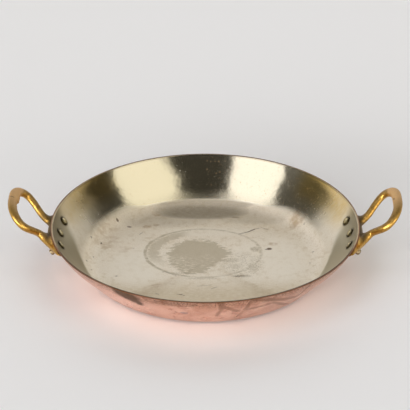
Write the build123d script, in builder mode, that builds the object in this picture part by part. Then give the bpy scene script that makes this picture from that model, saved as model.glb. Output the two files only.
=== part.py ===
from build123d import *
from math import asin, cos, degrees, radians, sin, tan
import os

# Round copper pan with a tinned inside and two cast brass ears, each held by three rivets.
# Millimetres. +Z is up, the pan stands on Z = 0 and the ears point along +X and -X.

# Pan
rim_radius = 150.0
pan_height = 45.5
copper_wall = 1.6
tin_coat = 0.3
rim_lean = 27.0          # degrees from upright, at the rim
wall_lean = 43.5         # degrees from upright, lower down
rim_curve = 79.0         # radius of the gentle curve that turns the wall up to the rim
base_corner = 20.0       # outer radius between wall and base
rim_round = 0.4

# Rivets
rivet_depth = 10.7       # below the rim, where the rivet passes the inside wall
rivet_turn = 9.8         # degrees between one rivet and the next, round the pan
shank_radius = 2.5
shank_overlap = 0.3      # how far the shank runs on into the tail
head_radius = 4.8
head_rise = 1.9
tail_radius = 3.1
tail_rise = 1.3
hole_start = 5.0         # inside the wall
hole_length = 20.0

# Riveted plate of an ear
plate_reach = 60.0       # from the middle to a tip, along the wall
plate_depth = 9.0        # its middle line below the rim, at the centre
tip_depth = 3.5          # and at a tip
plate_half_height = 8.6
plate_thickness = 8.6
plate_tip = 0.6          # half height and thickness left at a tip
plate_fullness = 0.7     # power of the curve from a tip to the middle, 0.5 is an ellipse
plate_sections = 13

# Grip loop of an ear, in a plane that leans outwards and up
loop_lean = 45.0         # degrees above level
loop_depth = 10.2        # below the rim, where its plane passes under the rim
arm_width = 3.5          # half sizes of the bar
arm_thick = 3.4
grip_width = 5.1
grip_thick = 3.6
root_width = 5.5
root_thick = 3.6
root_inner = -12.0       # outwards along the loop, where the bar has its root size
root_outer = 8.0         # and where it has narrowed to an arm
grip_inner = 20.0        # where the arm starts to widen
grip_outer = 46.0        # and where it has its grip size
loop_end = 50.2
loop_sections = 25
junction_round = 5.5     # between loop and plate

# Half of the loop's middle line: outwards, sideways, and off its plane
loop_points = [
    (-12.0, 22.5, 9.0),
    (-4.5, 18.0, 2.2),
    (5.0, 16.2, 0.0),
    (20.0, 23.0, 0.0),
    (36.0, 30.3, 0.0),
    (45.6, 22.8, 0.0),
]

# The wall's outer line, from the rim down: curve, straight, corner, flat base
curve_centre_r = rim_radius - rim_curve * cos(radians(rim_lean))
curve_centre_z = pan_height + rim_curve * sin(radians(rim_lean))
straight_top = curve_centre_z - rim_curve * sin(radians(wall_lean))
straight_low = base_corner * (1 - sin(radians(wall_lean)))
straight_top_r = curve_centre_r + rim_curve * cos(radians(wall_lean))
straight_run = (straight_top - straight_low) * tan(radians(wall_lean))
straight_length = (straight_top - straight_low) / cos(radians(wall_lean))
base_radius = straight_top_r - straight_run - base_corner * cos(radians(wall_lean))


def share(value, start, end):
    """How far value has come from start to end, kept between 0 and 1."""
    return min(max((value - start) / (end - start), 0), 1)


def lean_at(depth, inset=0.0):
    """Degrees from upright of the wall at a depth below the rim."""
    sine = (rim_curve * sin(radians(rim_lean)) + depth) / (rim_curve - inset)
    return min(degrees(asin(min(sine, 1.0))), wall_lean)


def wall_point(depth, turn, inset=0.0):
    """Point of the wall at a depth below the rim, turned round the pan from +X."""
    z = pan_height - depth
    lean = radians(lean_at(depth, inset))
    r = curve_centre_r + (rim_curve - inset) * cos(lean)
    if z < straight_top:
        r = straight_top_r - (straight_top - z) * tan(lean) - inset / cos(lean)
    return Vector(r * cos(radians(turn)), r * sin(radians(turn)), z)


def wall_normal(depth, turn, inset=0.0):
    """Direction straight out of the wall at that point."""
    lean = radians(lean_at(depth, inset))
    return Vector(
        cos(lean) * cos(radians(turn)), cos(lean) * sin(radians(turn)), -sin(lean)
    )


def outside_wall(edge):
    """Whether an edge's middle lies outside the pan's wall."""
    point = edge.center()
    wall = wall_point(pan_height - point.Z, 0)
    return (point.X**2 + point.Y**2) ** 0.5 > wall.X


def bowl(inset):
    """The pan's form filled in, its outline moved inwards by inset."""
    top_lean = lean_at(0, inset)
    with BuildPart() as form:
        with BuildSketch(Plane.YZ):  # the seam lies clear of the ears
            with BuildLine():
                base = Line((0, inset), (base_radius, inset))
                corner = JernArc(base @ 1, base % 1, base_corner - inset, 90 - wall_lean)
                straight = PolarLine(corner @ 1, straight_length, 90 - wall_lean)
                curve = JernArc(
                    straight @ 1, straight % 1, rim_curve - inset, wall_lean - top_lean
                )
                mouth = Line(curve @ 1, (0, pan_height))
                Line(mouth @ 1, base @ 0)
            make_face()
        revolve(axis=Axis.Z)
    return form.part


outer_form = bowl(0)
copper_form = bowl(copper_wall)
inner_form = bowl(copper_wall + tin_coat)

# One frame for each rivet of the right ear, on the inside wall, its Z straight out
rivet_turns = {"front": -rivet_turn, "middle": 0.0, "rear": rivet_turn}
rivet_planes = {
    place: Plane(
        origin=wall_point(rivet_depth, turn, copper_wall + tin_coat),
        x_dir=(-sin(radians(turn)), cos(radians(turn)), 0),
        z_dir=wall_normal(rivet_depth, turn, copper_wall + tin_coat),
    )
    for place, turn in rivet_turns.items()
}

# Holes for the rivets, right through wall and plate on both sides of the pan
with BuildPart() as rivet_holes:
    for plane in rivet_planes.values():
        with BuildSketch(plane.offset(-hole_start)):
            Circle(shank_radius)
        extrude(amount=hole_length)
    mirror(about=Plane.YZ)

with BuildPart() as copper_shell:
    add(outer_form)
    add(copper_form, mode=Mode.SUBTRACT)
    rim_edges = copper_shell.edges().group_by(Axis.Z)[-1].sort_by(SortBy.LENGTH)
    fillet(rim_edges[-1], rim_round)
    add(rivet_holes.part, mode=Mode.SUBTRACT)

with BuildPart() as tin_lining:
    add(copper_form)
    add(inner_form, mode=Mode.SUBTRACT)
    add(rivet_holes.part, mode=Mode.SUBTRACT)

# The plate: a leaf along the wall, thickest in the middle, its sections in upright
# planes round the pan. A section is an ellipse on the wall, half of it cut away later.
with BuildPart() as plate:
    for i in range(plate_sections):
        k = 2 * i / (plate_sections - 1) - 1
        depth = plate_depth + (tip_depth - plate_depth) * k**2
        turn = degrees(k * plate_reach / rim_radius)
        swell = (1 - k**2) ** plate_fullness
        section = Plane(
            origin=wall_point(depth, turn),
            x_dir=wall_normal(depth, turn),
            z_dir=(-sin(radians(turn)), cos(radians(turn)), 0),
        )
        with BuildSketch(section):
            Ellipse(
                plate_tip + (plate_thickness - plate_tip) * swell,
                plate_tip + (plate_half_height - plate_tip) * swell,
            )
    loft()

# The grip loop: one bar from root to root, wide at the roots and at the grip
loop_plane = Plane(
    origin=(rim_radius, 0, pan_height - loop_depth),
    x_dir=(cos(radians(loop_lean)), 0, sin(radians(loop_lean))),
    z_dir=(-sin(radians(loop_lean)), 0, cos(radians(loop_lean))),
)
there = [loop_plane.from_local_coords(point) for point in loop_points]
back = [loop_plane.from_local_coords((u, -y, v)) for u, y, v in reversed(loop_points)]
with BuildLine() as loop_line:
    Spline(*there, loop_plane.from_local_coords((loop_end, 0, 0)), *back)

with BuildPart() as loop:
    for i in range(loop_sections):
        t = i / (loop_sections - 1)
        centre = loop_line.line @ t
        reach = loop_plane.to_local_coords(centre).X
        grip = share(reach, grip_inner, grip_outer)
        root = share(reach, root_outer, root_inner)
        section = Plane(
            origin=centre,
            x_dir=(loop_line.line % t).cross(loop_plane.z_dir),
            z_dir=loop_line.line % t,
        )
        with BuildSketch(section):
            Ellipse(
                arm_width + (grip_width - arm_width) * grip + (root_width - arm_width) * root,
                arm_thick + (grip_thick - arm_thick) * grip + (root_thick - arm_thick) * root,
            )
    loft()

# Plate and loop as one casting, its back cut to the wall
with BuildPart() as ear:
    add(plate.part)
    add(loop.part)
    fillet(ear.edges(Select.NEW).filter_by(outside_wall), junction_round)
    add(outer_form, mode=Mode.SUBTRACT)

with BuildPart() as right_handle:
    add(ear.part)
    add(rivet_holes.part, mode=Mode.SUBTRACT)

with BuildPart() as left_handle:
    add(right_handle.part)
    mirror(about=Plane.YZ, mode=Mode.REPLACE)


def rivet(plane):
    """Domed head on the lining, shank through wall and plate, hammered tail outside."""
    axis = Axis(plane.origin, plane.z_dir)
    crossings = [point for point, _ in ear.part.find_intersection_points(axis)]
    face = max((point - plane.origin).dot(plane.z_dir) for point in crossings)
    profile = Plane(origin=plane.origin, x_dir=plane.x_dir, z_dir=-plane.y_dir)
    with BuildPart() as head:
        with BuildSketch(profile):
            with BuildLine():
                middle = Line((0, shank_radius), (0, -head_rise))
                dome = TangentArc(middle @ 1, (head_radius, 0), tangent=(1, 0))
                Polyline(dome @ 1, (head_radius, shank_radius), middle @ 0)
            make_face()
        revolve(axis=axis)
        add(inner_form, mode=Mode.INTERSECT)
    with BuildPart() as tail:
        with BuildSketch(profile):
            with BuildLine():
                middle = Line((0, face - shank_radius), (0, face + tail_rise))
                dome = TangentArc(middle @ 1, (tail_radius, face), tangent=(1, 0))
                Polyline(dome @ 1, (tail_radius, face - shank_radius), middle @ 0)
            make_face()
        revolve(axis=axis)
        add(ear.part, mode=Mode.SUBTRACT)
    with BuildPart() as whole:
        with BuildSketch(plane.offset(-head_rise / 2)):
            Circle(shank_radius)
        extrude(amount=head_rise / 2 + face + shank_overlap)
        add(head.part)
        add(tail.part)
    return whole.part


pieces = {
    "copper_shell": copper_shell.part,
    "tin_lining": tin_lining.part,
    "right_handle": right_handle.part,
    "left_handle": left_handle.part,
}
for place, plane in rivet_planes.items():
    with BuildPart() as right_rivet:
        add(rivet(plane))
    with BuildPart() as left_rivet:
        add(right_rivet.part)
        mirror(about=Plane.YZ, mode=Mode.REPLACE)
    pieces[f"right_rivet_{place}"] = right_rivet.part
    pieces[f"left_rivet_{place}"] = left_rivet.part

os.makedirs("parts", exist_ok=True)
for name, piece in pieces.items():
    piece.label = name
    export_step(piece, f"parts/{name}.step")
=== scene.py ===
from math import asin, cos, degrees, hypot, pi, radians, sin, tan

import bmesh
import bpy
import numpy as np
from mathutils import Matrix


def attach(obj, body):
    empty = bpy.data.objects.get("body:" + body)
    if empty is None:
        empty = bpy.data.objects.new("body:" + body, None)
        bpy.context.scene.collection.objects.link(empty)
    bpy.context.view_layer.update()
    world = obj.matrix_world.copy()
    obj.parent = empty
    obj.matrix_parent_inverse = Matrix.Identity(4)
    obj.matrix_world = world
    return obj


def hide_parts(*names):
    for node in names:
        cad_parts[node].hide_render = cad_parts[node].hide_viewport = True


# The pan's looks: room, camera and floor, then the finishes, then a mesh for each solid piece.
# Meshes are in metres. Finishes are laid out in millimetres and degrees.
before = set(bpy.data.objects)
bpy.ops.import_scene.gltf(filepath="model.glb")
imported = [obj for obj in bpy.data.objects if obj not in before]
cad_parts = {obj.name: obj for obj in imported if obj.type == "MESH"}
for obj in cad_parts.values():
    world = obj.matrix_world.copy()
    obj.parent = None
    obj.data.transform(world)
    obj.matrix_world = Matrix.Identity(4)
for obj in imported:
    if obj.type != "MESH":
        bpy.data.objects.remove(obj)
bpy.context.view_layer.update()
print("frame loaded")


# Shader maths: a wire is a socket's value, and arithmetic on wires adds Math nodes.
class Wire:
    def __init__(self, tree, socket):
        self.tree = tree
        self.socket = socket

    def math(self, operation, *values):
        return self.tree.add("ShaderNodeMath", {"operation": operation}, dict(enumerate(values)))

    def __add__(self, other):
        return self.math("ADD", self, other)

    def __sub__(self, other):
        return self.math("SUBTRACT", self, other)

    def __rsub__(self, other):
        return self.math("SUBTRACT", other, self)

    def __mul__(self, other):
        return self.math("MULTIPLY", self, other)

    def __truediv__(self, other):
        return self.math("DIVIDE", self, other)

    __radd__ = __add__
    __rmul__ = __mul__

    def power(self, other):
        return self.math("POWER", self, other)

    def largest(self, other):
        return self.math("MAXIMUM", self, other)

    def smallest(self, other):
        return self.math("MINIMUM", self, other)

    def size(self):
        return self.math("ABSOLUTE", self)

    def smooth(self, start, end):
        # 0 before start and 1 after end, with a soft step between
        return self.tree.add(
            "ShaderNodeMapRange",
            {"interpolation_type": "SMOOTHSTEP"},
            {"Value": self, "From Min": start, "From Max": end},
        )

    def within(self, first, last):
        # 1 between two soft steps and 0 outside them
        return self.smooth(*first) * self.smooth(*last)


class Recipe:
    # The node tree of one material, or of the world
    def __init__(self, tree):
        self.tree = tree
        tree.nodes.clear()

    def add(self, kind, settings, inputs, output=0):
        node = self.tree.nodes.new(kind)
        for name, value in settings.items():
            setattr(node, name, value)
        for name, value in inputs.items():
            if isinstance(value, Wire):
                self.tree.links.new(value.socket, node.inputs[name])
            else:
                node.inputs[name].default_value = value
        return Wire(self, node.outputs[output]) if node.outputs else None

    def place(self):
        # The point's place in millimetres
        point = self.add("ShaderNodeTexCoord", {}, {}, "Object")
        return self.add("ShaderNodeVectorMath", {"operation": "SCALE"}, {0: point, "Scale": 1000.0})

    def axes(self, vector):
        split = self.add("ShaderNodeSeparateXYZ", {}, {0: vector})
        return [Wire(self, socket) for socket in split.socket.node.outputs]

    def join(self, x, y, z=0.0):
        return self.add("ShaderNodeCombineXYZ", {}, {0: x, 1: y, 2: z})

    def noise(self, vector, scale, detail=3.0, rough=0.55):
        inputs = {"Vector": vector, "Scale": scale, "Detail": detail, "Roughness": rough}
        return self.add("ShaderNodeTexNoise", {}, inputs)

    def blend(self, share, first, second):
        # The second colour over the first by its share, each a wire or linear light
        first, second = [v if isinstance(v, Wire) else (*v, 1) for v in (first, second)]
        return self.add("ShaderNodeMix", {"data_type": "RGBA"}, {0: share, 6: first, 7: second}, 2)

    def coat(self, share, under, color):
        # A screen colour over what is under it by its share
        return self.blend(share, under, linear(*color))

    def bump(self, height, depth):
        return self.add("ShaderNodeBump", {}, {"Height": height, "Distance": depth, "Strength": 1.0})

    def finish(self, settings):
        # A Principled shader on the material's output
        shader = self.add("ShaderNodeBsdfPrincipled", {}, settings)
        self.add("ShaderNodeOutputMaterial", {}, {"Surface": shader})


def newMaterial(name):
    material = bpy.data.materials.new(name)
    material.use_nodes = True
    return material, Recipe(material.node_tree)


def linear(red, green, blue):
    # A screen colour from 0 to 255 as linear light
    values = np.array([red, green, blue]) / 255
    light = np.where(values <= 0.04045, values / 12.92, ((values + 0.055) / 1.055) ** 2.4)
    return tuple(float(value) for value in light)


# The room: a pale paper floor, a tall soft box on each side, a bright low front and a pale back.
# Directions are in degrees: turn from the camera's side towards +X, and height above level.
# An edge may spread, by degrees of turn for each degree of height above spreadHeight.
room = {
    "paper": (226, 225, 223),
    "dark": (0.045, 0.042, 0.033),    # linear light where no zone is
    "zones": {
        "rightBox": {
            "turn": (31, 80), "spread": (0, 0.61), "soft": (6, 1.5),
            "height": (1, 70), "fade": (2, 5), "light": (1.42, 1.36, 1.2),
        },
        "leftBox": {
            "turn": (-67, -22), "spread": (-0.63, -0.21), "soft": (1.5, 1.5),
            "height": (1, 70), "fade": (2, 5), "light": (1.8, 1.77, 1.82),
        },
        "lowLeft": {
            "turn": (-75, -5), "soft": (8, 25),
            "height": (-1, 15), "fade": (1, 3), "light": (11.2, 11.1, 11.0),
        },
        "lowRight": {
            "turn": (-5, 75), "soft": (25, 8),
            "height": (-1, 15), "fade": (1, 3), "light": (4.6, 4.4, 4.2),
        },
        "rightSide": {
            "turn": (84, 130), "soft": (6, 10),
            "height": (-4, 12), "fade": (1, 6), "light": (0.8, 0.72, 0.56),
        },
        "leftShade": {
            "turn": (-130, -80), "soft": (10, 6),
            "height": (-4, 13), "fade": (1, 6), "light": (0.95, 0.86, 0.68),
        },
    },
    "spreadHeight": 30.0,
    "backTurn": (105, 150),           # the pale back: where it starts and where it is full
    "backHeight": (62, 40),
    "backLight": (1.25, 1.23, 1.2),
    "horizon": (0.5, -0.5),
}


def makeRoom():
    world = bpy.data.worlds.new("room")
    bpy.context.scene.world = world
    world.use_nodes = True
    sky = Recipe(world.node_tree)
    x, y, z = sky.axes(sky.add("ShaderNodeTexCoord", {}, {}, "Generated"))
    turn = x.math("ARCTAN2", x, 0.0 - y) * degrees(1)
    height = z.math("ARCSINE", z) * degrees(1)
    back = turn.size().smooth(*room["backTurn"]) * height.smooth(*room["backHeight"])
    light = sky.blend(back, room["dark"], room["backLight"])
    for zone in room["zones"].values():
        (first, last), (leanFirst, leanLast) = zone["turn"], zone.get("spread", (0, 0))
        (softFirst, softLast), (fadeLow, fadeHigh) = zone["soft"], zone["fade"]
        low, high = zone["height"]
        rise = height - room["spreadHeight"]
        fromFirst = turn - (rise * leanFirst + first)
        fromLast = turn - (rise * leanLast + last)
        wide = fromFirst.smooth(-softFirst, softFirst) * fromLast.smooth(softLast, -softLast)
        tall = height.smooth(low - fadeLow, low + fadeLow)
        tall = tall * height.smooth(high + fadeHigh, high - fadeHigh)
        light = sky.blend(wide * tall, light, zone["light"])
    light = sky.coat(height.smooth(*room["horizon"]), light, room["paper"])
    seen = sky.add("ShaderNodeLightPath", {}, {}, "Is Camera Ray")
    light = sky.coat(seen, light, room["paper"])
    background = sky.add("ShaderNodeBackground", {}, {"Color": light, "Strength": 1.0})
    sky.add("ShaderNodeOutputWorld", {}, {"Surface": background})


# The camera stands in front and looks down, turned up a little so that the pan sits low in the frame.
camera = {
    "aim": (0.0, 0.0, 0.0455),
    "distance": 2.0,
    "height": 28.81,              # degrees above level
    "tilt": 0.509,
    "side": -0.0055,
    "lens": 180.88,
    "sensor": 36.0,
    "sight": 20.0,
}


def makeCamera():
    data = bpy.data.cameras.new("camera")
    data.lens = camera["lens"]
    data.sensor_width = camera["sensor"]
    data.clip_end = camera["sight"]
    holder = bpy.data.objects.new("camera", data)
    bpy.context.scene.collection.objects.link(holder)
    rise = radians(camera["height"])
    aim = np.array(camera["aim"])
    holder.location = aim + camera["distance"] * np.array([0, -cos(rise), sin(rise)])
    upright = pi / 2 - rise
    holder.rotation_euler = (upright + radians(camera["tilt"]), 0, radians(-camera["side"]))
    bpy.context.scene.camera = holder


floor = {"half": 4.0, "color": (242, 243, 246), "rough": 0.9}


def makeFloor():
    half = floor["half"]
    mesh = bpy.data.meshes.new("floor")
    corners = [(-half, -half, 0), (half, -half, 0), (half, half, 0), (-half, half, 0)]
    mesh.from_pydata(corners, [], [(0, 1, 2, 3)])
    sheet = bpy.data.objects.new("floor", mesh)
    bpy.context.scene.collection.objects.link(sheet)
    paper, recipe = newMaterial("paper")
    recipe.finish({"Base Color": (*linear(*floor["color"]), 1), "Roughness": floor["rough"]})
    mesh.materials.append(paper)


makeRoom()
makeCamera()
makeFloor()
bpy.context.scene.view_settings.view_transform = "Standard"
print("room, camera and floor made")


# Pan: the same sizes as the solid pan in the frame
pan = {
    "rim": 0.150,
    "height": 0.0455,
    "copper": 0.0016,
    "tin": 0.0003,
    "rimLean": 27.0,              # degrees from upright
    "wallLean": 43.5,
    "rimCurve": 0.079,
    "corner": 0.020,
    "bevel": 0.0004,              # on the rim's outer edge, which stands in by edgeGap
    "bevelSteps": 6,
    "edgeGap": 0.0001,
    "steps": (34, 14, 30, 24),    # points along the floor, corner, straight wall and curve
    "turns": 480,
}
curveR = pan["rim"] - pan["rimCurve"] * cos(radians(pan["rimLean"]))
curveZ = pan["height"] + pan["rimCurve"] * sin(radians(pan["rimLean"]))
straightTop = curveZ - pan["rimCurve"] * sin(radians(pan["wallLean"]))
straightLow = pan["corner"] * (1 - sin(radians(pan["wallLean"])))
straightTopR = curveR + pan["rimCurve"] * cos(radians(pan["wallLean"]))
baseR = (
    straightTopR
    - (straightTop - straightLow) * tan(radians(pan["wallLean"]))
    - pan["corner"] * cos(radians(pan["wallLean"]))
)


def wallLine(inset):
    # Radius and height from the middle to the rim, moved in by inset: flat floor, corner arc,
    # straight wall, and the arc that turns the wall up to the rim
    flat, corner, straight, curve = pan["steps"]
    lean = radians(pan["wallLean"])
    topLean = asin(pan["rimCurve"] * sin(radians(pan["rimLean"])) / (pan["rimCurve"] - inset))
    a = np.linspace(pi / 2, lean, corner)
    b = np.linspace(lean, topLean, curve)
    r = [np.linspace(0, baseR, flat)]
    z = [np.full(flat, inset)]
    r.append(baseR + (pan["corner"] - inset) * np.cos(a)[1:])
    z.append(pan["corner"] - (pan["corner"] - inset) * np.sin(a)[1:])
    topR = curveR + (pan["rimCurve"] - inset) * np.cos(b)
    topZ = curveZ - (pan["rimCurve"] - inset) * np.sin(b)
    t = np.linspace(0, 1, straight)[1:-1]
    r.append(r[-1][-1] + (topR[0] - r[-1][-1]) * t)
    z.append(z[-1][-1] + (topZ[0] - z[-1][-1]) * t)
    r.append(topR)
    z.append(topZ)
    return np.concatenate(r), np.concatenate(z)


def makePiece(name, points, quads, triangles):
    # A mesh from arrays of points, four-sided and three-sided faces
    mesh = bpy.data.meshes.new(name)
    loops = np.concatenate([quads.ravel(), triangles.ravel()]).astype(np.int32)
    sides = np.concatenate([np.full(len(quads), 4), np.full(len(triangles), 3)])
    starts = np.concatenate([[0], np.cumsum(sides)[:-1]]).astype(np.int32)
    mesh.vertices.add(len(points))
    mesh.vertices.foreach_set("co", np.ascontiguousarray(points, np.float32).ravel())
    mesh.loops.add(len(loops))
    mesh.loops.foreach_set("vertex_index", loops)
    mesh.polygons.add(len(sides))
    mesh.polygons.foreach_set("loop_start", starts)
    mesh.update(calc_edges=True)
    mesh.validate()
    mesh.polygons.foreach_set("use_smooth", np.ones(len(mesh.polygons), bool))
    piece = bpy.data.objects.new(name, mesh)
    bpy.context.scene.collection.objects.link(piece)
    return piece


def turned(name, r, z, turns, move=None):
    # A closed solid of revolution: points (r cos a, r sin a, z) of a profile that starts and
    # ends on the axis, with a single point at each pole; move takes the points to their place
    a = np.arange(turns) * 2 * pi / turns
    ringX = np.outer(r[1:-1], np.cos(a))
    ringY = np.outer(r[1:-1], np.sin(a))
    ringZ = np.outer(z[1:-1], np.ones(turns))
    rings = np.stack([ringX, ringY, ringZ], -1)
    points = np.concatenate([rings.reshape(-1, 3), [[0, 0, z[0]], [0, 0, z[-1]]]])
    here = np.arange(turns)
    after = (here + 1) % turns
    ringStart = np.arange(len(rings) - 1)[:, None] * turns
    i, j = ringStart + here, ringStart + after
    quads = np.stack([i, j, j + turns, i + turns], -1).reshape(-1, 4)
    pole = len(rings) * turns
    last = pole - turns
    bottom = np.stack([np.full(turns, pole), after, here], -1)
    top = np.stack([np.full(turns, pole + 1), last + here, last + after], -1)
    if move is not None:
        points = move(points)
    return makePiece(name, points, quads, np.concatenate([bottom, top]))


def dress(piece, material, node):
    piece.data.materials.append(material)
    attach(piece, "root")
    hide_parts(node)
    print("made", piece.name, len(piece.data.polygons), "faces")


def measured(recipe, place):
    # What the finishes are laid out by: x, y and z, the distance from the pan's axis, and the
    # turn in degrees from the camera's side towards +X
    x, y, z = recipe.axes(place)
    radius = (x * x + y * y).power(0.5)
    turn = x.math("ARCTAN2", x, 0.0 - y) * degrees(1)
    return x, y, z, radius, turn


def ellipse(x, y, middle, half):
    # Squared distance from an ellipse's middle, 1 on its line
    offX, offY = (x - middle[0]) * (1 / half[0]), (y - middle[1]) * (1 / half[1])
    return offX * offX + offY * offY


# Where the soft edge of a mark ends and starts: in half widths of a stroke, and in squared
# half sizes of a spot
strokeEdge = (1.5, 0.5)
spotEdge = (1.6, 0.4)


def strokes(x, y, marks):
    # Straight strokes: from, to, half width and strength; the strongest one counts at each place
    total = None
    for (fromX, fromY), (toX, toY), half, strength in marks:
        runX, runY = toX - fromX, toY - fromY
        length = runX ** 2 + runY ** 2
        offX, offY = x - fromX, y - fromY
        along = (offX * (runX / length) + offY * (runY / length)).largest(0.0).smallest(1.0)
        gapX, gapY = offX - along * runX, offY - along * runY
        distance = (gapX * gapX + gapY * gapY).power(0.5)
        mark = distance.smooth(half * strokeEdge[0], half * strokeEdge[1]) * strength
        total = mark if total is None else total.largest(mark)
    return total


def spots(x, y, marks):
    # Soft ellipses: middle, half sizes and strength; the strongest one counts at each place
    total = None
    for middleX, middleY, halfX, halfY, strength in marks:
        mark = ellipse(x, y, (middleX, middleY), (halfX, halfY)).smooth(*spotEdge) * strength
        total = mark if total is None else total.largest(mark)
    return total


rivet = {
    "depth": 0.0107,              # below the rim, where a rivet passes the inside wall
    "turn": 9.8,                  # degrees from one rivet to the next
    "head": 0.0048,
    "headSeat": 0.0004,           # how far the dome's edge stands in from the wall
    "headBack": 0.0006,           # and how far behind the wall the head ends
    "shank": 0.0025,
    "tail": 0.0031,
    "tailDome": 0.0017,
    "tailStart": (0.004, 0.003),  # in from the tail's tip, at the shank and at the edge
    "tailLift": 0.0042,           # how much longer the front and rear tails are
    "domeSteps": 14,
    "roundSteps": 40,
    "metal": (200, 188, 150),
    # the head's dark edge: grime with painted shade where it meets the wall
    "edge": (62, 54, 32),
    "tailColor": (150, 134, 104),
    "edgeFrom": (2.9, 4.0),       # millimetres from the head's middle, where its edge darkens
    "tailFrom": (5.2, 6.0),
    "rough": 0.16,
    "edgeRough": 0.15,
    "bumpDepth": 0.0004,
}


def wallFrame(turn):
    # Point of the inside wall where a rivet passes it, and the directions out and sideways there
    curve = pan["rimCurve"] - pan["copper"] - pan["tin"]
    lean = asin((pan["rimCurve"] * sin(radians(pan["rimLean"])) + rivet["depth"]) / curve)
    around = np.array([cos(radians(turn)), sin(radians(turn)), 0])
    point = (curveR + curve * cos(lean)) * around + np.array([0, 0, pan["height"] - rivet["depth"]])
    outward = cos(lean) * around - np.array([0, 0, sin(lean)])
    side = np.array([-sin(radians(turn)), cos(radians(turn)), 0])
    return point, outward, side


def fromRivet(x, y, z):
    # Distance from the middle of the nearest rivet head
    nearest = None
    for turn in (0.0, rivet["turn"]):
        middleX, middleY, middleZ = [float(value) * 1000 for value in wallFrame(turn)[0]]
        offX, offY, offZ = x.size() - middleX, y.size() - middleY, z - middleZ
        gap = (offX * offX + offY * offY + offZ * offZ).power(0.5)
        nearest = gap if nearest is None else nearest.smallest(gap)
    return nearest


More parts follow.
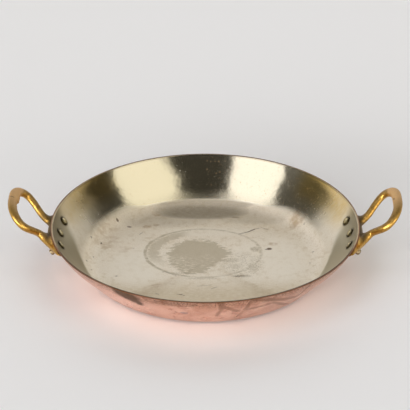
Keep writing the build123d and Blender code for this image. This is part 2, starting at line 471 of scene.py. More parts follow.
tin = {
    "wall": (206, 198, 175),
    "floor": (246, 238, 225),
    # a painted reflection of a warm light on the far sides of the wall
    "goldReflection": (210, 180, 100),
    "pale": (246, 240, 228),
    "tan": (214, 199, 172),
    "brown": (172, 138, 88),
    # the colour of the painted highlight at the polish edge, and of the pale flecks
    "highlightAndFleck": (242, 234, 214),
    "patchColor": (201, 190, 168),
    "lineColor": (176, 163, 138),
    "pitColor": (104, 78, 48),
    # the colour of the painted shade at the foot of the back wall
    "backShadeColor": (142, 132, 114),
    # the colour of the painted shade on the lower and left walls
    "wedgeShadeColor": (148, 138, 114),
    "freckle": (196, 150, 96),
    # grime with painted shade round the rivets
    "grimeAndShade": (82, 72, 46),
    # the colour of the painted shade on the tin's top edge
    "rimShade": (104, 78, 50),
    "wallRough": 0.12,
    "floorRough": 0.5,
    "floorMetal": 0.65,
    "wedgeRough": 0.24,
    "worn": (10.4, 8.4),          # heights over which the polish ends
    "softSides": (152.0, 132.0, 9.0),     # turns over which that end softens, and by how much
    "lowFront": (100.0, 84.0, 6.0),       # turns over which it sinks, and by how much
    "wedge": (104.5, 28.0, 9.0, 10.5),    # the line of the matte sides: far, drop, low and run
    "wedgeEdge": (-5.0, 4.0),
    "matteTurn": (130, 103),      # turns over which the matte sides end towards the back
    "matteWander": 30.0,
    "matteShare": 0.8,
    "goldenHeight": (16.0, 34.0),
    "goldenTurn": ((95.0, 110.0), (142.0, 133.0)),
    "goldenShare": 0.8,
    "lowWallShadeTurn": (30.0, 50.0),     # the painted shade on the lower wall: how much of it on the left and right
    "lowWallShadeShare": (0.75, 0.5),
    # where the painted shade on the left wall lies
    "leftTurn": ((-58.0, -76.0), (-148.0, -124.0)),
    "leftHeight": (9.0, 16.0),
    "leftShare": 0.3,
    # where the painted highlight along the polish edge lies
    "polishHighlight": ((8.9, 9.6), (10.9, 10.1)),
    "freckleTurn": (95.0, 125.0),
    "hazeTurn": ((154.0, 144.0), (164.0, 172.0)),
    "hazeShare": (0.5, 1.0, 0.15),        # on the left, on the right and in the middle
    "hazeHeight": (12.0, 20.0),
    "grimeAndShadeGap": (6.6, 5.0),       # from a rivet's middle
    "rimHeight": (43.9, 44.6),
    "rimShadeFront": (95.0, 60.0),
    "rimShadeShare": (0.25, 0.65),     # all round, and added in front
    "bumpDepth": 0.0001,
    # Layers on the worn tin: colour, pattern, where the pattern starts and is full, and share
    "layers": [
        ("pale", "broad", 0.4, 0.62, 0.45),
        ("tan", "middling", 0.5, 0.66, 0.45),
        ("tan", "fine", 0.48, 0.66, 0.7),
        ("tan", "y", 20.0, 110.0, 0.4),
        ("tan", "y", -25.0, -65.0, 0.8),
        ("pale", "streak", 0.46, 0.6, 0.3),
    ],
    "ring": {"middle": (-2.0, 19.0), "half": (57.5, 48.0), "width": 0.026, "left": (0.0, -50.0)},
    "patch": {
        "middle": (-6.0, 11.0), "half": (31.0, 34.5), "edge": (1.04, 0.94), "wander": (12.0, 14.0),
        "ragged": {"smear": 0.9, "streak": 0.5, "middling": 0.35},
        "cut": ((27.0, 13.0), (-2.0, -27.0)),     # two places on the straight side
        "cutShift": 3.5,
        "cutRagged": {"smear": 18.0, "streak": 16.0},
        "holes": [(-24.0, -4.0, 17.0, 18.0, 0.85), (2.0, 0.0, 9.0, 16.0, 0.5)],
    },
    "crescent": {
        "level": 0.86, "width": (0.12, 0.072), "ragged": {"smear": 0.3, "streak": 0.3},
        "right": (-12.0, -28.0), "front": (-10.0, 14.0), "share": 0.75,
    },
    "field": {"middle": (37.0, -4.0), "half": (21.0, 25.0), "edge": (1.3, 0.5), "share": 0.8},
    "paleSpots": [
        (-68.0, -8.0, 26.0, 36.0, 0.6),
        (74.0, 8.0, 24.0, 42.0, 0.6),
        (46.0, 4.0, 20.0, 36.0, 0.4),
        (0.0, 62.0, 52.0, 9.0, 0.4),
    ],
    # painted shade on the floor at the foot of the back wall
    "backShadeSpots": [
        (-4.0, 101.0, 46.0, 13.0, 0.7),
        (0.0, 112.0, 90.0, 7.0, 0.5),
        (-50.0, 92.0, 60.0, 20.0, 0.2),
        (58.0, 92.0, 50.0, 14.0, 0.2),
    ],
    "wornSpots": [
        (49.4, 26.0, 4.5, 5.0, 0.8),
        (47.0, -9.0, 5.0, 8.0, 0.6),
        (35.0, -26.5, 9.0, 2.6, 0.9),
        (24.0, 4.0, 9.0, 4.0, 0.7),
        (30.0, -8.0, 6.0, 5.0, 0.5),
        (-3.0, -31.0, 16.0, 2.0, 0.5),
        (-26.0, -21.0, 12.0, 2.0, 0.4),
    ],
    "scratches": [
        ((34.0, 57.0), (43.0, 61.0), 0.5, 0.7),
        ((43.0, 61.0), (50.0, 67.0), 0.7, 0.85),
        ((50.0, 67.0), (55.0, 69.0), 0.4, 0.4),
        ((57.0, 70.0), (64.0, 66.0), 0.35, 0.4),
        ((-25.0, -61.7), (-22.0, -61.4), 0.5, 0.7),
        ((-26.9, -61.2), (-20.2, -63.5), 0.4, 0.6),
        ((-47.5, -60.4), (-44.5, -61.2), 0.5, 0.5),
        ((30.0, -27.5), (38.0, -26.8), 0.8, 0.6),
        ((-8.0, -46.0), (6.0, -44.0), 0.4, 0.3),
        ((6.0, -51.0), (11.0, -47.5), 0.5, 0.4),
        ((-66.3, 56.0), (-63.0, 60.0), 0.4, 0.5),
        ((-40.0, -17.0), (-28.0, -27.0), 0.4, 0.35),
    ],
    "pits": [
        (63.3, 26.6, 2.56, 2.1, 0.9),
        (60.6, 25.4, 1.28, 0.84, 0.63),
        (-103.4, 35.5, 0.88, 1.4, 0.81),
        (-110.2, 7.7, 0.72, 0.91, 0.63),
        (-110.3, -18.9, 0.72, 0.91, 0.45),
        (-85.8, -26.9, 1.28, 0.91, 0.54),
        (-113.3, 35.3, 0.8, 1.12, 0.54),
        (-115.8, -6.7, 0.8, 1.12, 0.54),
        (-88.7, 74.9, 1.12, 1.54, 0.81),
        (-76.7, 71.4, 2.4, 1.4, 0.63),
        (-71.3, 27.7, 0.64, 0.84, 0.36),
        (-41.1, -18.9, 1.28, 0.84, 0.45),
        (99.4, 63.5, 0.96, 1.26, 0.36),
        (106.6, 19.0, 1.44, 0.84, 0.45),
        (102.7, -1.4, 0.96, 0.7, 0.45),
        (31.4, 91.6, 4.0, 1.68, 0.315),
    ],
    "brownSpots": [
        (-58.9, 71.7, 5.0, 3.0, 0.5),
        (-52.4, 75.9, 6.0, 2.4, 0.5),
        (-49.3, 97.2, 5.0, 3.0, 0.4),
        (67.6, 36.5, 5.0, 3.0, 0.4),
        (-46.4, -44.8, 5.0, 3.0, 0.35),
        (92.7, 72.5, 8.0, 9.0, 0.45),
        (-80.0, 26.0, 9.0, 6.0, 0.15),
        (-100.0, 50.0, 14.0, 26.0, 0.2),
    ],
}


def wander(grain, shares):
    # How far a ragged edge strays from its line: each pattern, about its middle, by its share
    total = 0.0
    for pattern, share in shares.items():
        total = (grain[pattern] - 0.5) * share + total
    return total


def tinWear(level, away, broad):
    # Worn tin, from 0 to 1: base is low on the wall all round, and worn has the matte sides too.
    # They reach up to the line turn = far - drop e^((low - height) / run), and behind is how
    # many degrees past that line a place lies. Turns count away from the camera's side
    softFrom, softTo, softBy = tin["softSides"]
    lowFrom, lowTo, lowBy = tin["lowFront"]
    beside = away.smooth(softFrom, softTo) * softBy
    lower = away.smooth(lowFrom, lowTo) * lowBy
    base = (level + lower).smooth(beside + tin["worn"][0], tin["worn"][1])
    far, drop, low, run = tin["wedge"]
    falling = (low - level) / run
    behind = away + falling.math("EXPONENT", falling) * drop - far
    strayed = away + (broad - 0.5) * tin["matteWander"]
    matte = behind.smooth(*tin["wedgeEdge"]) * strayed.smooth(*tin["matteTurn"])
    return base, base.largest(matte * tin["matteShare"]), behind


def floorMarks(x, y, shiftX, shiftY, grain):
    # The ring's line, the pitted field, and all the worn marks of the floor together
    fine, smear, streak = grain["fine"], grain["smear"], grain["streak"]
    ring, patch, crescent, field = tin["ring"], tin["patch"], tin["crescent"], tin["field"]
    around = ellipse(shiftX, shiftY, ring["middle"], ring["half"]).power(0.5)
    line = (around - 1.0).size().smooth(ring["width"] * 1.5, ring["width"] * 0.4)
    line = line * (0.08 + smear.smooth(0.38, 0.6) * 0.6 + x.smooth(*ring["left"]) * 0.4)
    inside = around.smooth(1.0, 0.97)

    # The patch is an ellipse with a ragged edge, cut off along a straight line
    patchX = x + (grain["middling"] - 0.5) * patch["wander"][0]
    patchY = y + (grain["broad"] - 0.5) * patch["wander"][1]
    apart = ellipse(patchX, patchY, patch["middle"], patch["half"]).power(0.5)
    apart = apart + wander(grain, patch["ragged"])
    (cutX, cutY), (tailX, tailY) = patch["cut"]
    run = hypot(cutX - tailX, cutY - tailY)
    beyond = (x - tailX) * ((cutY - tailY) / run) - (y - tailY) * ((cutX - tailX) / run)
    cut = (beyond + patch["cutShift"] + wander(grain, patch["cutRagged"])).smooth(1.4, -1.4)
    holes = streak.smooth(0.52, 0.58) * spots(x, y, patch["holes"])
    faded = apart.smooth(*patch["edge"]) * cut * (1.0 - holes)

    curved = (around + wander(grain, crescent["ragged"]) - crescent["level"]).size()
    curve = curved.smooth(*crescent["width"]) * x.smooth(*crescent["right"])
    curve = curve * y.smooth(*crescent["front"]) * crescent["share"]
    inField = ellipse(x, y, field["middle"], field["half"]).smooth(*field["edge"])
    pitted = inField * fine.smooth(0.48, 0.58) * streak.smooth(0.44, 0.56) * field["share"]
    pitted = pitted.largest(spots(shiftX, shiftY, tin["wornSpots"]) * fine.smooth(0.36, 0.52))
    marks = faded.largest(curve * inside).largest(pitted * 0.6).largest(line)
    return line, pitted, marks * (0.6 + fine * 0.5)


def makeTin():
    material, recipe = newMaterial("tin")
    spot = recipe.place()
    x, y, z, radius, turn = measured(recipe, spot)
    away = turn.size()
    broad = recipe.noise(spot, 0.035, 3.0)
    middling = recipe.noise(spot, 0.16, 4.0, 0.6)
    fine = recipe.noise(spot, 1.1, 4.0, 0.6)
    smear = recipe.noise(recipe.join(x * 0.09, y * 0.33, 3.0), 1.0, 6.0, 0.66)
    streak = recipe.noise(recipe.join(x * 0.2, y * 0.85, 7.0), 1.0, 5.0, 0.65)
    brushed = recipe.noise(recipe.join(radius * 2.2, turn * 0.035, z * 2.2), 1.0, 3.0, 0.6)
    grain = {
        "broad": broad, "middling": middling, "fine": fine, "smear": smear, "streak": streak, "y": y,
    }
    shiftX = x + (middling - 0.5) * 3.0
    shiftY = y + (fine - 0.5) * 3.2
    level = z + (middling - 0.5) * 1.6

    # Polished wall and worn floor, and a painted golden reflection on the far sides of the wall
    base, worn, behind = tinWear(level, away, broad)
    color = recipe.blend(worn, linear(*tin["wall"]), linear(*tin["floor"]))
    # The golden band is a painted reflection of a warm light
    goldReflection = z.smooth(*tin["goldenHeight"]) * away.within(*tin["goldenTurn"])
    color = recipe.coat(goldReflection * tin["goldenShare"], color, tin["goldReflection"])
    for name, pattern, start, end, share in tin["layers"]:
        color = recipe.coat(grain[pattern].smooth(start, end) * share * worn, color, tin[name])
    color = recipe.coat(spots(shiftX, shiftY, tin["paleSpots"]) * base, color, tin["pale"])

    # Marks on the floor, and painted shade at the foot of the back wall
    line, pitted, marks = floorMarks(x, y, shiftX, shiftY, grain)
    marks = marks * worn
    color = recipe.coat(marks, color, tin["patchColor"])
    color = recipe.coat(line * fine.smooth(0.45, 0.6) * 0.5 * worn, color, tin["lineColor"])
    color = recipe.coat(pitted * fine.smooth(0.48, 0.56) * worn, color, tin["lineColor"])
    browns = spots(shiftX, shiftY, tin["brownSpots"]) * middling.smooth(0.3, 0.6)
    color = recipe.coat(browns, color, tin["brown"])
    # Painted shade on the floor at the foot of the back wall
    backShade = spots(x, y, tin["backShadeSpots"]) * base * (0.5 + streak)
    color = recipe.coat(backShade, color, tin["backShadeColor"])

    # Painted shade on the lower wall on both sides, and more painted shade on the left wall
    lowWallShade = behind.smooth(2.0, -5.0) * away.smooth(*tin["lowWallShadeTurn"])
    onLeft, onRight = tin["lowWallShadeShare"]
    lowWallShadeShare = onLeft - x.smooth(-1.0, 1.0) * (onLeft - onRight)
    color = recipe.coat(lowWallShade * (1.0 - base) * lowWallShadeShare, color, tin["wedgeShadeColor"])
    # Painted shade darkens the left wall
    leftShade = turn.within(*tin["leftTurn"]) * level.smooth(*tin["leftHeight"])
    color = recipe.coat(leftShade * tin["leftShare"], color, tin["wedgeShadeColor"])

    # Pits, scratches and specks
    scratches = strokes(shiftX, shiftY, tin["scratches"])
    dark = spots(shiftX, shiftY, tin["pits"]).largest(scratches)
    specks = fine.smooth(0.72, 0.78) * 0.5
    color = recipe.coat(dark.largest(specks * worn), color, tin["pitColor"])

    # The painted highlight where the polish starts, flecks on the wall, grime with painted shade at
    # the rivets, and painted shade at the rim
    # A painted highlight along the line where the polish starts
    color = recipe.coat(level.within(*tin["polishHighlight"]) * 0.12, color, tin["highlightAndFleck"])
    shiny = 1.0 - worn
    flecks = recipe.noise(spot, 0.75, 2.0, 0.5).smooth(0.7, 0.76) * shiny * broad.smooth(0.42, 0.6)
    color = recipe.coat(flecks * 0.5, color, tin["highlightAndFleck"])
    gold = recipe.noise(spot, 0.7, 2.0, 0.5).smooth(0.66, 0.73) * shiny
    gold = gold * (0.35 + turn.smooth(*tin["freckleTurn"]) * 0.65)
    color = recipe.coat(gold * 0.9, color, tin["freckle"])
    hazeSides, hazeMiddle = tin["hazeTurn"]
    onLeft, onRight, inMiddle = tin["hazeShare"]
    dim = away.smooth(*hazeSides) * (onLeft + turn.smooth(-10.0, 10.0) * (onRight - onLeft))
    dim = dim + away.smooth(*hazeMiddle) * inMiddle
    haze = shiny * dim * z.smooth(*tin["hazeHeight"]) * (0.4 + fine * 1.2)
    # Grime with painted shade in a ring round each rivet
    grimeAndShade = fromRivet(x, y, z).smooth(*tin["grimeAndShadeGap"]) * (0.3 + middling * 0.7)
    color = recipe.coat(grimeAndShade, color, tin["grimeAndShade"])
    # Painted shade along the tin's top edge, most of it in front
    allRound, inFront = tin["rimShadeShare"]
    rimShadeShare = allRound + away.smooth(*tin["rimShadeFront"]) * inFront
    color = recipe.coat(z.smooth(*tin["rimHeight"]) * rimShadeShare, color, tin["rimShade"])

    rough = tin["wallRough"] + (middling - 0.5) * 0.06 + flecks * 0.3 + level.smooth(20.0, 9.0) * 0.16
    rough = rough + lowWallShade * tin["wedgeRough"]
    rough = rough + worn * (tin["floorRough"] - tin["wallRough"]) + worn * (fine - 0.5) * 0.1
    height = broad * 3.0 + brushed * 0.12 * shiny + fine * 0.25 * worn - dark * 0.6 - marks * 0.3
    recipe.finish({
        "Base Color": color,
        "Metallic": 1.0 - worn * (1.0 - tin["floorMetal"]) - gold * 0.45 - haze * 0.07,
        "Roughness": rough,
        "Normal": recipe.bump(height, tin["bumpDepth"]),
    })
    return material


# Marks on the copper are laid out by turn in degrees and height in millimetres
copper = {
    "clean": (206, 162, 138),
    "pale": (226, 188, 168),
    "deep": (184, 129, 105),
    "veinColor": (140, 102, 78),
    "stainColor": (92, 66, 42),
    "greyColor": (160, 128, 112),
    "bruiseColor": (140, 112, 116),
    "underColor": (150, 98, 74),
    "rimTop": (114, 94, 68),
    # painted shade on the rim top in front, and a painted highlight at the sides
    "rimShadeFront": (62, 42, 24),
    "rimHighlight": (176, 158, 128),
    "rimOutside": (112, 72, 44),
    "rough": 0.26,
    "arc": 2.45,                  # millimetres round the wall for each degree
    "veins": [
        ((6.0, 45.0), (5.8, 34.7), 2.24, 0.8),
        ((5.8, 34.7), (4.8, 18.5), 1.68, 0.6),
        ((6.4, 38.0), (12.7, 27.0), 2.24, 0.7),
        ((14.0, 13.8), (16.8, 45.0), 1.96, 0.6),
        ((16.8, 45.0), (38.0, 26.6), 2.24, 0.8),
        ((38.0, 26.6), (41.0, 45.0), 1.96, 0.7),
        ((16.5, 28.0), (26.0, 32.0), 2.24, 0.7),
        ((26.0, 32.0), (38.6, 10.8), 1.96, 0.7),
    ],
    "stains": [
        ((-32.0, 43.5), (-27.4, 38.0), 7.84, 1.0),
        ((-27.4, 38.0), (-25.6, 31.5), 4.48, 1.0),
    ],
    # painted highlights on the outer wall
    "paleSpots": [
        (-38.0, 24.0, 13.0, 16.0, 0.7),
        (-21.0, 24.0, 7.0, 13.0, 0.7),
        (58.0, 30.0, 12.0, 16.0, 0.6),
    ],
    "veinSpots": [(-12.0, 41.0, 9.0, 3.5, 0.6), (25.0, 41.5, 7.0, 2.4, 0.3)],
    "greySpots": [(36.5, 36.0, 4.5, 7.0, 0.7), (-24.0, 36.0, 3.0, 6.0, 0.4)],
    "bruises": [(-8.3, 24.8, 1.6, 2.6, 0.7)],
    "speckHeight": (33.0, 43.0),
    "speckTurn": (70.0, 40.0),
    "under": (4.0, 0.5),          # heights over which the underside's finish starts
    "outside": (44.1, 45.0),      # and the dark band outside under the rim
    "rimTopFrom": (149.25, 148.85),
    "rimTopHeight": (45.1, 45.4),
    "frontTurn": (90.0, 60.0),
    "sideTurn": ((66.0, 76.0), (108.0, 96.0)),
    "bumpDepth": 0.0001,
}


def copperMarks(marks):
    # The strokes with their turns in millimetres
    arc = copper["arc"]
    return [
        ((fromTurn * arc, fromZ), (toTurn * arc, toZ), half, strength)
        for (fromTurn, fromZ), (toTurn, toZ), half, strength in marks
    ]


def makeCopper():
    material, recipe = newMaterial("copper")
    spot = recipe.place()
    z, radius, turn = measured(recipe, spot)[2:]
    away = turn.size()
    broad = recipe.noise(spot, 0.03, 4.0, 0.6)
    middling = recipe.noise(spot, 0.11, 5.0, 0.62)
    fine = recipe.noise(spot, 0.9, 4.0, 0.6)
    polish = recipe.noise(recipe.join(radius * 1.6, turn * 0.06, z * 1.6), 1.0, 3.0, 0.6)
    around = turn * copper["arc"] + (middling - 0.5) * 6.0
    level = z + (fine - 0.5) * 3.0

    # Bare copper with its pale, dark and grey places; the pale spots are painted highlights
    color = recipe.blend(broad.smooth(0.42, 0.66), linear(*copper["clean"]), linear(*copper["pale"]))
    color = recipe.coat(middling.smooth(0.46, 0.66) * 0.6, color, copper["deep"])
    color = recipe.coat(fine.smooth(0.5, 0.7) * 0.35, color, copper["deep"])
    color = recipe.coat((polish - 0.5) * 0.5, color, copper["deep"])
    color = recipe.coat(spots(turn, level, copper["paleSpots"]), color, copper["pale"])
    veins = strokes(around, level, copperMarks(copper["veins"])) * (0.55 + fine * 0.8)
    color = recipe.coat(veins, color, copper["veinColor"])
    mottle = spots(turn, level, copper["veinSpots"]) * middling.smooth(0.3, 0.5)
    color = recipe.coat(mottle, color, copper["veinColor"])
    speckled = level.smooth(*copper["speckHeight"]) * away.smooth(*copper["speckTurn"])
    speckled = speckled * fine.smooth(0.47, 0.57)
    color = recipe.coat(speckled * 0.85, color, copper["rimOutside"])
    grey = spots(turn, level, copper["greySpots"]) * fine.smooth(0.4, 0.6)
    color = recipe.coat(grey, color, copper["greyColor"])
    color = recipe.coat(spots(turn, level, copper["bruises"]), color, copper["bruiseColor"])
    stain = strokes(around, level, copperMarks(copper["stains"])) * (0.6 + fine * 0.7)
    color = recipe.coat(stain, color, copper["stainColor"])

    # The underside, scuffed in rings
    under = z.smooth(*copper["under"])
    color = recipe.coat(under * (0.35 + broad * 0.6), color, copper["underColor"])
    rings = recipe.noise(recipe.join(radius * 0.5, turn * 0.02), 1.0, 3.0, 0.6).smooth(0.5, 0.62)
    color = recipe.coat(under * rings * 0.45, color, copper["veinColor"])

    # The rim: a dark oxide band outside, and on its top a painted shade in front and a painted
    # highlight at the sides
    outside = (z + (middling - 0.5) * 1.2).smooth(*copper["outside"])
    color = recipe.coat(outside * 0.9, color, copper["rimOutside"])
    top = (radius + (middling - 0.5) * 0.6).smooth(*copper["rimTopFrom"])
    top = top * z.smooth(*copper["rimTopHeight"])
    inFront = away.smooth(*copper["frontTurn"])
    lip = recipe.blend(inFront, linear(*copper["rimTop"]), linear(*copper["rimShadeFront"]))
    lip = recipe.coat(away.within(*copper["sideTurn"]), lip, copper["rimHighlight"])
    color = recipe.blend(top, color, lip)
    oxide = outside * (1.0 - top)

    rough = copper["rough"] + veins * 0.12 + stain * 0.2 + under * 0.16
    rough = rough + (middling - 0.5) * 0.12 + outside * 0.25
    height = broad * 3.0 + middling * 0.8 + polish * 0.1
    recipe.finish({
        "Base Color": color,
        "Metallic": 1.0 - oxide * 0.25 - speckled * 0.3,
        "Roughness": rough,
        "Normal": recipe.bump(height, copper["bumpDepth"]),
    })
    return material


handle = {
    "lean": 45.0,                 # of the loop's plane above level
    "planeDepth": 0.0102,         # below the rim, where the plane passes under it
    "merge": 0.00001,
    "voxel": 0.00045,
    "even": (0.5, 4),             # share and rounds of the first smoothing
    "thin": (7.0, 13.0, 0.38),    # the plate thins away from the middle: from, to, by how much
    "thinReach": (0.012, 0.002),
    # The flare that runs from each arm into the plate: three places for the ear at +X on the
    # camera's side, and the radii there; on the rear side it is thinner and lower
    "flare": ((0.1599, -0.0198, 0.0452), (0.1493, -0.0197, 0.0357), (0.1395, -0.0560, 0.0415)),
    "flareRadius": (0.0033, 0.0062, 0.0008),
    "rearRadius": (0.0030, 0.0028, 0.0006),
    "rearDrop": 0.004,
    "flareSteps": 16,
    "flareSides": 20,
    # Smoothing over the joints: rounds, share, and where it starts, by gap and by reach
    "relax": 40,
    "relaxShare": 0.5,
    "relaxGap": (0.0008, 0.003),
    "relaxReach": (0.016, 0.010),
    "seat": 0.00002,              # the least gap to the wall
    # the way the painted shade on the handle faces: up and back
    "upShadeSide": (0.0, 0.48, 0.88),
}

brass = {
    "clean": (194, 152, 76),
    "amber": (126, 90, 32),
    "olive": (48, 38, 14),
    "worn": (196, 158, 108),
    "crevice": (86, 52, 28),
    "speck": (60, 44, 24),
    "rough": 0.32,
    "wornRough": 0.5,
    "dents": [((-188.4, 0.4), (-184.6, -0.4), 0.5, 0.9), ((181.8, 2.0), (182.4, -1.5), 0.5, 0.7)],
    # Where the painted shade, the patina in the crevice and the worn face lie: facing up, side is y or
    # its size, height is z, reach is out along the loop, above is over its plane, and gap is from the
    # wall
    "upper": (-0.02, 0.5),
    "rootReach": (15.0, 3.0),
    "upShadeHeight": (36.0, 42.0),
    "flareSide": (18.0, 26.0),
    "flareReach": (8.0, 3.0),
    "webSide": (23.0, 16.0),
    "webHeight": (32.0, 38.0),
    "webReach": (9.0, 5.0),
    "rearSide": (10.0, 17.0),
    "rearReach": (18.0, 9.0),
    "creviceGap": (1.6, 0.3),
    "faceReach": (41.0, 45.0),
    "faceAbove": (-1.4, 0.4),
    "faceSide": (-26.0, 4.0),
    "bumpDepth": 0.0001,
}


def makeBrass():
    material, recipe = newMaterial("brass")
    spot = recipe.place()
    x, y, z, radius = measured(recipe, spot)[:4]
    broad = recipe.noise(spot, 0.07, 3.0)
    middling = recipe.noise(spot, 0.3, 4.0, 0.6)
    fine = recipe.noise(spot, 1.2, 3.0, 0.6)

    # Reach outwards along the loop's plane, height above the plane, and gap to the pan's wall
    out = x.size() - pan["rim"] * 1000
    rise = z - (pan["height"] - handle["planeDepth"]) * 1000
    lean = radians(handle["lean"])
    reach = out * cos(lean) + rise * sin(lean)
    above = rise * cos(lean) - out * sin(lean)
    offR, offZ = radius - curveR * 1000, z - curveZ * 1000
    gap = (offR * offR + offZ * offZ).power(0.5) - pan["rimCurve"] * 1000

    # Painted shade on what faces up and back, at the roots, between the arms and on the rear arm
    amber = middling.smooth(0.45, 0.72) * 0.7
    color = recipe.blend(amber, linear(*brass["clean"]), linear(*brass["amber"]))
    facing = recipe.add("ShaderNodeAttribute", {"attribute_name": "upShade"}, {}, "Fac")
    upper = (facing + (middling - 0.5) * 0.6).smooth(*brass["upper"])
    root = (reach + (broad - 0.5) * 14.0).smooth(*brass["rootReach"])
    flare = y.size().smooth(*brass["flareSide"]) * reach.smooth(*brass["flareReach"])
    olive = upper * (0.6 + root * 0.4) * z.smooth(*brass["upShadeHeight"]) * (1.0 - flare)
    web = y.size().smooth(*brass["webSide"]) * z.smooth(*brass["webHeight"])
    web = web * reach.smooth(*brass["webReach"])
    rear = (reach + (broad - 0.5) * 8.0 + x * 0.02).smooth(*brass["rearReach"])
    rear = y.smooth(*brass["rearSide"]) * rear
    olive = olive.largest(web * 0.9).largest(rear * 0.9)
    color = recipe.coat(olive * 0.9, color, brass["olive"])
    color = recipe.coat(gap.smooth(*brass["creviceGap"]) * 0.85, color, brass["crevice"])

    # The worn upper face of the grip, dents and specks
    face = (reach + (broad - 0.5) * 6.0).smooth(*brass["faceReach"])
    face = face * (above + (fine - 0.5)).smooth(*brass["faceAbove"])
    face = face * (y + (broad - 0.5) * 14.0).smooth(*brass["faceSide"]) * (0.6 + middling * 0.6)
    color = recipe.coat(face * 0.95, color, brass["worn"])
    dents = strokes(x, y, brass["dents"]) * above.smooth(0.0, 1.0)
    color = recipe.coat(dents.largest(fine.smooth(0.72, 0.8) * 0.5), color, brass["speck"])

    rough = brass["rough"] + face * (brass["wornRough"] - brass["rough"])
    rough = rough + olive * 0.3 + (middling - 0.5) * 0.1
    height = middling * 1.6 + broad * 3.0 + face * fine * 0.5 - dents * 2.0
    recipe.finish({
        "Base Color": color,
        "Metallic": 1.0 - face * 0.25 - olive * 0.55,
        "Roughness": rough,
        "Normal": recipe.bump(height, brass["bumpDepth"]),
    })
    return material


def makeRivetMetal():
    material, recipe = newMaterial("rivetMetal")
    spot = recipe.place()
    middling = recipe.noise(spot, 0.45, 3.0, 0.6)
    away = fromRivet(*recipe.axes(spot))
    # The head's dark edge is grime with painted shade where it meets the wall
    edge = (away + (middling - 0.5) * 1.6).smooth(*rivet["edgeFrom"])
    color = recipe.blend(edge, linear(*rivet["metal"]), linear(*rivet["edge"]))
    color = recipe.coat(away.smooth(*rivet["tailFrom"]), color, rivet["tailColor"])
    recipe.finish({
        "Base Color": color,
        "Metallic": 1.0,
        "Roughness": rivet["rough"] + edge * rivet["edgeRough"],
        "Normal": recipe.bump(middling * 2.0, rivet["bumpDepth"]),
    })
    return material


def makeShell():
    # The outer line up to a rounded rim edge, and back down the inner line
    outerR, outerZ = wallLine(0.0)
    innerR, innerZ = wallLine(pan["copper"])
    a = np.linspace(0, pi / 2, pan["bevelSteps"])
    edgeR = pan["rim"] - pan["bevel"] * (1 - np.cos(a)) - pan["edgeGap"]
    edgeZ = pan["height"] - pan["bevel"] * (1 - np.sin(a))
    keep = outerZ < pan["height"] - pan["bevel"]
    r = np.concatenate([outerR[keep], edgeR, innerR[::-1]])
    z = np.concatenate([outerZ[keep], edgeZ, innerZ[::-1]])
    return turned("pan_shell", r, z, pan["turns"])


def makeLining():
    outerR, outerZ = wallLine(pan["copper"])
    innerR, innerZ = wallLine(pan["copper"] + pan["tin"])
    r = np.concatenate([outerR, innerR[::-1]])
    z = np.concatenate([outerZ, innerZ[::-1]])
    return turned("pan_lining", r, z, pan["turns"])


def readPoints(mesh):
    points = np.zeros(len(mesh.vertices) * 3, np.float32)
    mesh.vertices.foreach_get("co", points)
    return points.reshape(-1, 3).astype(float)


def writePoints(mesh, points):
    mesh.vertices.foreach_set("co", points.astype(np.float32).ravel())


def makeRivet(node, name, turn):
    # A turned form on the rivet's own axis: head dome, shank and tail dome, their tips where
    # the solid rivet's tips are, and the front and rear tails longer
    point, outward, side = wallFrame(turn)
    up = np.cross(outward, side)
    along = (readPoints(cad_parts[node].data) - point) @ outward
    headTip, tailTip = along.min(), along.max()
    if not node.endswith("middle"):
        tailTip += rivet["tailLift"]
    a = np.linspace(0, pi / 2, rivet["domeSteps"])
    headR = rivet["head"] * np.sin(a)
    headZ = headTip + (-rivet["headSeat"] - headTip) * (1 - np.cos(a))
    tailR = rivet["tail"] * np.sin(a)
    tailZ = tailTip - rivet["tailDome"] * (1 - np.cos(a))
    back, shank = rivet["headBack"], rivet["shank"]
    shankEnd, tailStart = rivet["tailStart"]
    r = np.concatenate([headR, [rivet["head"], shank, shank, rivet["tail"]], tailR[::-1]])
    z = np.concatenate([headZ, [back, back, tailTip - shankEnd, tailTip - tailStart], tailZ[::-1]])

    def toWall(points):
        return points[:, :1] * side + points[:, 1:2] * up + points[:, 2:] * outward + point

    return turned(name, r, z, rivet["roundSteps"], toWall)


def eased(value, start, end):
    # 0 before start and 1 after end, with a soft step between
    share = np.clip((value - start) / (end - start), 0, 1)
    return share * share * (3 - 2 * share)


def fromWall(points):
    # Distance out from the wall near the rim, and the radius and direction it is measured along
    radius = np.hypot(points[:, 0], points[:, 1])
    offR, offZ = radius - curveR, points[:, 2] - curveZ
    reach = np.hypot(offR, offZ)
    return reach - pan["rimCurve"], radius, offR / reach, offZ / reach


def alongLoop(points):
    # Distance outwards in the loop's plane, from under the rim
    out = np.abs(points[:, 0]) - pan["rim"]
    rise = points[:, 2] - (pan["height"] - handle["planeDepth"])
    return (out + rise) * cos(radians(handle["lean"]))


def movedOut(points, distance):
    # The same points at other distances from the wall
    gap, radius, outR, outZ = fromWall(points)
    move = distance - gap
    grown = (radius + move * outR) / radius
    return np.stack([points[:, 0] * grown, points[:, 1] * grown, points[:, 2] + move * outZ], -1)


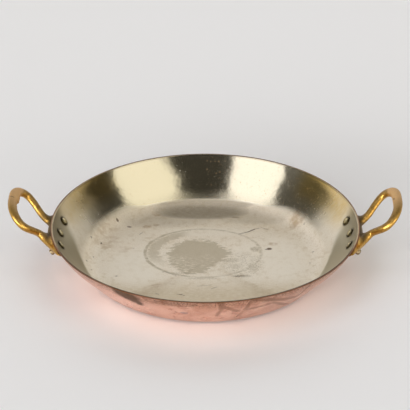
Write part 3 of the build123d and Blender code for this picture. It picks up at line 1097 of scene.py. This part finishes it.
def flareMesh(signX, signY):
    # A tapering tube: circles round the curve (1-t)^2 A + 2t(1-t) C + t^2 B, whose radius goes
    # the same way
    places = np.array(handle["flare"]) * [signX, signY, 1]
    if signY < 0:
        places[1:, 2] -= handle["rearDrop"]
    steps, sides = handle["flareSteps"], handle["flareSides"]
    t = np.linspace(0, 1, steps)[:, None]
    shares = (1 - t) ** 2, 2 * t * (1 - t), t ** 2
    line = shares[0] * places[0] + shares[1] * places[1] + shares[2] * places[2]
    first, middle, last = handle["flareRadius"] if signY > 0 else handle["rearRadius"]
    radii = shares[0] * first + shares[1] * middle + shares[2] * last
    along = np.gradient(line, axis=0)
    along /= np.linalg.norm(along, axis=1)[:, None]
    side = np.cross(along, [0, 0, 1])
    side /= np.linalg.norm(side, axis=1)[:, None]
    up = np.cross(side, along)
    a = (np.arange(sides) * 2 * pi / sides)[None, :, None]
    circles = line[:, None] + radii[:, None] * (np.cos(a) * side[:, None] + np.sin(a) * up[:, None])
    faces = []
    for i in range(0, (steps - 1) * sides, sides):
        for j in range(sides):
            after = (j + 1) % sides
            faces.append((i + j, i + after, i + sides + after, i + sides + j))
    faces += [tuple(range(sides))[::-1], tuple(range((steps - 1) * sides, steps * sides))]
    mesh = bpy.data.meshes.new("flare")
    mesh.from_pydata(circles.reshape(-1, 3).tolist(), [], faces)
    return mesh


def relaxed(points, edges, share, rounds):
    # In every round each point moves towards the middle of its neighbours, by its share
    first, second = edges.T
    count = len(points)
    near = np.bincount(first, minlength=count) + np.bincount(second, minlength=count)
    for _ in range(rounds):
        total = np.stack([
            np.bincount(first, points[second, i], count) + np.bincount(second, points[first, i], count)
            for i in range(3)
        ], -1)
        points = points + share[:, None] * (total / near[:, None] - points)
    return points


def castingMesh(node, name, sign):
    # The solid handle's mesh, its plate thinned towards the ends, with the flares put in
    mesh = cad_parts[node].data.copy()
    mesh.name = name
    points = readPoints(mesh)
    aside = np.degrees(np.arctan2(np.abs(points[:, 1]), np.abs(points[:, 0])))
    gap = fromWall(points)[0]
    first, last, share = handle["thin"]
    share = share * eased(aside, first, last) * eased(alongLoop(points), *handle["thinReach"])
    writePoints(mesh, movedOut(points, np.where(gap > 0, gap * (1 - share), gap)))
    form = bmesh.new()
    form.from_mesh(mesh)
    bmesh.ops.remove_doubles(form, verts=form.verts, dist=handle["merge"])
    for signY in (1, -1):
        flare = flareMesh(sign, signY)
        form.from_mesh(flare)
        bpy.data.meshes.remove(flare)
    bmesh.ops.recalc_face_normals(form, faces=form.faces)
    form.to_mesh(mesh)
    form.free()
    return mesh


def evenPiece(mesh, name):
    # A piece of the same form, drawn over in small even faces
    piece = bpy.data.objects.new(name, mesh)
    bpy.context.scene.collection.objects.link(piece)
    voxels = piece.modifiers.new("voxels", "REMESH")
    voxels.mode = "VOXEL"
    voxels.voxel_size = handle["voxel"]
    even = piece.modifiers.new("even", "SMOOTH")
    even.factor, even.iterations = handle["even"]
    graph = bpy.context.evaluated_depsgraph_get()
    piece.data = bpy.data.meshes.new_from_object(piece.evaluated_get(graph))
    piece.modifiers.clear()
    piece.data.name = name
    return piece


# The rough notch on the inner side of the left grip: a swelling with a dip beside it
notch = {
    "depth": 0.0015,
    "outer": (0.050, 0.044),      # reach along the loop, where it starts and where it is full
    "inner": (0.036, 0.042),
    "swell": (0.000, 0.003, 0.019, 0.010),    # y where it rises, is full, ends and falls
    "dip": (-0.010, -0.005, 0.002, -0.001),
    "dipShare": 0.6,
    "waves": ((0.25, 2600, 0), (0.2, 4300, 1)),   # share, radians per metre and start
    "waveMiddle": 0.002,
    "waveHalf": (0.012, 0.006),
}


def notchPush(points, reach):
    # How far each point goes in: a swelling less its dip, and a sum of sines for the roughness
    y = points[:, 1]
    rise, full, end, fall = notch["swell"]
    swell = eased(y, rise, full) * eased(y, end, fall)
    rise, full, end, fall = notch["dip"]
    dip = eased(y, rise, full) * eased(y, end, fall)
    rough = sum(share * np.sin(y * rate + start) for share, rate, start in notch["waves"])
    rough = rough * eased(np.abs(y - notch["waveMiddle"]), *notch["waveHalf"])
    edge = eased(reach, *notch["outer"]) * eased(reach, *notch["inner"])
    return notch["depth"] * edge * (swell - notch["dipShare"] * dip + rough)


def makeHandle(node, name):
    # The casting: solid form and flares in one even mesh, smoothed where they join
    sign = 1 if node.startswith("right") else -1
    piece = evenPiece(castingMesh(node, name, sign), name)
    mesh = piece.data
    points = readPoints(mesh)
    edges = np.zeros(len(mesh.edges) * 2, np.int32)
    mesh.edges.foreach_get("vertices", edges)
    reach = alongLoop(points)
    share = eased(fromWall(points)[0], *handle["relaxGap"]) * eased(reach, *handle["relaxReach"])
    points = relaxed(points, edges.reshape(-1, 2), handle["relaxShare"] * share, handle["relax"])
    points = movedOut(points, np.maximum(fromWall(points)[0], handle["seat"]))
    if sign < 0:
        push = notchPush(points, reach)
        points[:, 0] += push * cos(radians(handle["lean"]))
        points[:, 2] -= push * sin(radians(handle["lean"]))
    writePoints(mesh, points)
    mesh.update()
    # How far the surface faces up and back, where the painted shade lies
    normals = np.zeros(len(points) * 3, np.float32)
    mesh.vertices.foreach_get("normal", normals)
    facing = normals.reshape(-1, 3) @ np.array(handle["upShadeSide"])
    upShade = mesh.attributes.new("upShade", "FLOAT", "POINT")
    upShade.data.foreach_set("value", facing.astype(np.float32))
    mesh.materials.clear()
    mesh.polygons.foreach_set("use_smooth", np.ones(len(mesh.polygons), bool))
    return piece


tinMaterial = makeTin()
copperMaterial = makeCopper()
brassMaterial = makeBrass()
rivetMaterial = makeRivetMetal()
print("finishes made")

dress(makeShell(), copperMaterial, "copper_shell")
dress(makeLining(), tinMaterial, "tin_lining")
for side in ("right", "left"):
    node = side + "_handle"
    dress(makeHandle(node, side + "_casting"), brassMaterial, node)
    for place, turn in (("front", -rivet["turn"]), ("middle", 0.0), ("rear", rivet["turn"])):
        node = side + "_rivet_" + place
        turn = turn if side == "right" else 180 - turn
        dress(makeRivet(node, side + "_" + place + "_rivet", turn), rivetMaterial, node)
